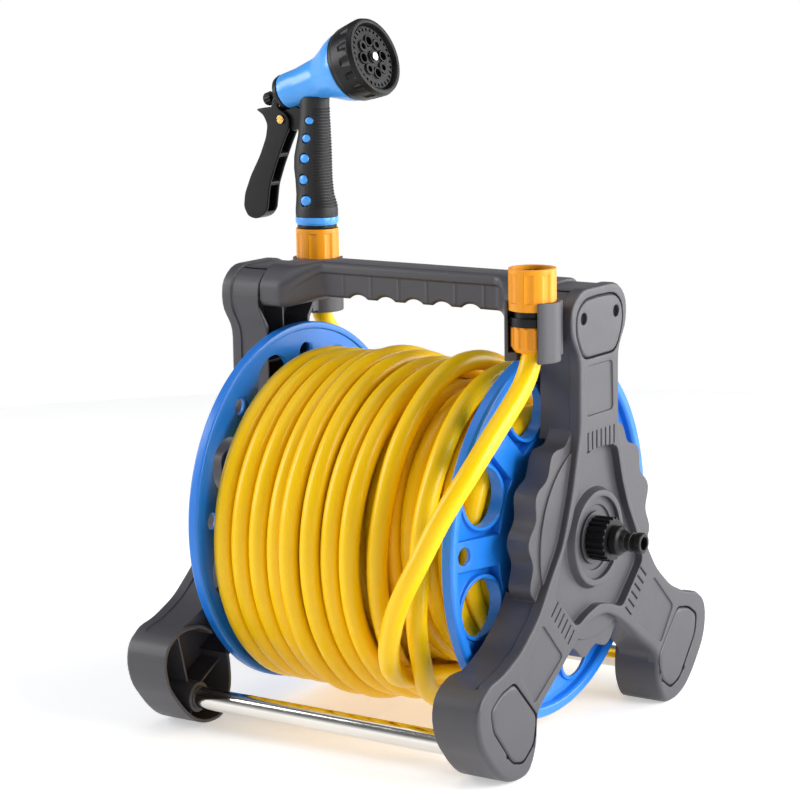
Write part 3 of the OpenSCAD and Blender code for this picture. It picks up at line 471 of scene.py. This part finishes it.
def handle():
    """The bar flares smoothly into its end blocks; hollow below, with five finger grips."""
    def half(t, lift, hollow, proud=0.0):
        def mix(a, b):
            return a + (b - a) * t
        bottom = mix(176, 168) + lift
        roof = 198 if hollow else bottom
        side = [(0, mix(205, 201.5)), (mix(14, 26), mix(205, 201.5)), (mix(16.5, 40), mix(202.5, 188)),
                (mix(16.5, 40), mix(197, 180)), (mix(14.5, 40) + proud, mix(195.5, 178)),
                (mix(14.5, 40) + proud, bottom + mix(2, 5)),
                (mix(12.8, 36), bottom), (11.5, bottom)]
        return rounded(side, [mix(1.5, 9), mix(1.5, 9), 1, 1, mix(1, 5), mix(0.8, 5)])[1:] + [(11.5, roof)]

    def ring(x, t, lift=0.0, hollow=False, inset=0.0, proud=0.0):
        side = half(t, lift, hollow, proud)
        both = side + [(-y, z) for y, z in reversed(side)]
        if inset:
            both = [(y * (1 - inset / 40), 185 + (z - 185) * (1 - inset / 17)) for y, z in both]
        return [AXLE + MM * Vector((x, y, z)) for y, z in both]

    def grips(x):
        return max([0.0] + [math.sqrt(max(0.0, 169 - (x - c) ** 2)) - 9.5 for c in (-50, -23, 4, 31, 58)])

    def rib(x):
        return 0.5 if min(abs(x - c) for c in (-63.5, -36.5, -9.5, 17.5, 44.5, 71.5)) < 1.1 else 0.0

    def flare(x):
        return ease((abs(x) - 82) / 30)

    rings = [ring(-149, 1, inset=4), ring(-130.6, 1, inset=4), ring(-130.6, 1, inset=0.8), ring(-129.8, 1)]
    rings += [ring(x, flare(x)) for x in range(-126, -92, 2)]
    rings += [ring(-92, flare(92)), ring(-91.9, flare(92), 0, True)]
    rings += [ring(x, flare(x), grips(x), True, proud=rib(x)) for x in range(-91, 92)]
    rings += [ring(91.9, flare(92), 0, True), ring(92, flare(92))]
    rings += [ring(x, flare(x)) for x in range(94, 128, 2)]
    rings += [ring(129.8, 1), ring(130.6, 1, inset=0.8), ring(130.6, 1, inset=4), ring(149, 1, inset=4)]
    new_piece("handle_finished", *loft(rings), "frame", "frame_plastic", 0, "handle_bar")


def grip_details():
    """The ribs round the grip's front, and its five domed dots."""
    grip = clean_mesh("nozzle_grip")
    tree = BVHTree.FromBMesh(grip)
    low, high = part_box("nozzle_grip")
    centre = Vector(((low.x + high.x) / 2, (low.y + high.y) / 2, 0))
    lines = []
    z = low.z + 9 * MM
    while z < high.z - 9 * MM:
        points = []
        for degree in range(-66, 67, 6):
            a = math.radians(degree)
            out = Vector((math.cos(a), math.sin(a), 0))
            hit = tree.ray_cast(Vector((centre.x, centre.y, z)) + out * 0.06, -out)[0]
            if hit:
                points.append(hit - out * 0.1 * MM)
        if len(points) > 15:
            lines.append(points)
        z += 2.5 * MM
    ribs = swept("grip_ribs", lines, 0.75 * MM, 2, 0.35)
    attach(ribs, "nozzle")
    paint(ribs, "black_rubber")
    grip.free()

    dots = clean_mesh("nozzle_grip_dots")
    verts, faces = [], []
    left = set(dots.verts)
    while left:
        island, todo = set(), [left.pop()]
        while todo:
            v = todo.pop()
            island.add(v)
            for edge in v.link_edges:
                other = edge.other_vert(v)
                if other in left:
                    left.discard(other)
                    todo.append(other)
        xs = [v.co.x for v in island]
        zs = [v.co.z for v in island]
        front = min(v.co.y for v in island)
        r = (max(xs) - min(xs)) / 2
        x0, z0 = (max(xs) + min(xs)) / 2, (max(zs) + min(zs)) / 2
        n, start = 32, len(verts)
        for rho, sink in ((0.0, 0.0), (0.4, 0.1), (0.7, 0.25), (0.9, 0.55), (1.0, 1.1), (1.0, 3.0)):
            for k in range(n):
                a = 2 * math.pi * k / n
                x = x0 + r * rho * math.cos(a)
                bow = (x - centre.x + 1.0 * MM) ** 2 / 0.04
                verts.append((x, front + bow + sink * MM, z0 + 0.82 * r * rho * math.sin(a)))
        for ring in range(5):
            for k in range(n):
                a, b = start + ring * n + k, start + ring * n + (k + 1) % n
                faces.append((a, b, b + n, a + n))
        faces.append(tuple(start + 5 * n + k for k in reversed(range(n))))
    dots.free()
    new_piece("grip_dots_finished", verts, faces, "nozzle", "nozzle_plastic", 0, "nozzle_grip_dots")


handle()
grip_details()
for slot_name, members in PARTS.items():
    for node, width in members.items():
        if width:
            finished(node, slot_name, width)
        else:
            paint(frame["nodes"][node], slot_name)


# ---------- light and floor ----------

def area_light(name, place, target, size, power, colour=(1, 1, 1)):
    light = bpy.data.lights.new(name, "AREA")
    light.shape = "RECTANGLE"
    light.size, light.size_y = size
    light.energy = power
    light.color = colour
    obj = bpy.data.objects.new(name, light)
    scene.collection.objects.link(obj)
    obj.location = place
    obj.rotation_mode = "QUATERNION"
    obj.rotation_quaternion = (Vector(target) - Vector(place)).to_track_quat("-Z", "Y")


def make_stage():
    mesh = bpy.data.meshes.new("floor")
    bm = bmesh.new()
    bmesh.ops.create_circle(bm, cap_ends=True, radius=1.5, segments=96)
    bm.to_mesh(mesh)
    bm.free()
    floor = bpy.data.objects.new("floor", mesh)
    scene.collection.objects.link(floor)
    pale = material("floor", (0.82, 0.82, 0.82), 0.6, speck=0.01)
    pale.node_tree.nodes["Principled BSDF"].inputs["Emission Color"].default_value = (1, 1, 1, 1)
    pale.node_tree.nodes["Principled BSDF"].inputs["Emission Strength"].default_value = 0.42
    floor.data.materials.append(pale)
    world = bpy.data.worlds.new("studio")
    world.use_nodes = True
    tree = world.node_tree
    coords = tree.nodes.new("ShaderNodeTexCoord")
    parts = tree.nodes.new("ShaderNodeSeparateXYZ")
    tree.links.new(coords.outputs["Generated"], parts.inputs["Vector"])
    ramp = tree.nodes.new("ShaderNodeValToRGB")
    ramp.color_ramp.elements[0].position = 0.0
    ramp.color_ramp.elements[0].color = (1, 1, 1, 1)
    ramp.color_ramp.elements[1].position = 0.35
    ramp.color_ramp.elements[1].color = (0.14, 0.145, 0.155, 1)
    tree.links.new(parts.outputs["Z"], ramp.inputs["Fac"])
    tree.links.new(ramp.outputs["Color"], tree.nodes["Background"].inputs["Color"])
    scene.world = world
    middle = (0.0, 0.0, 0.25)
    area_light("left", (-1.9, -1.1, 1.1), middle, (1.0, 1.6), 36)
    area_light("top", (-0.3, -0.3, 2.6), middle, (2.0, 2.0), 16)
    area_light("right", (2.1, 0.2, 0.9), middle, (1.2, 1.6), 56)
    area_light("right_back", (1.5, 1.7, 0.7), middle, (1.2, 1.4), 30)


make_stage()
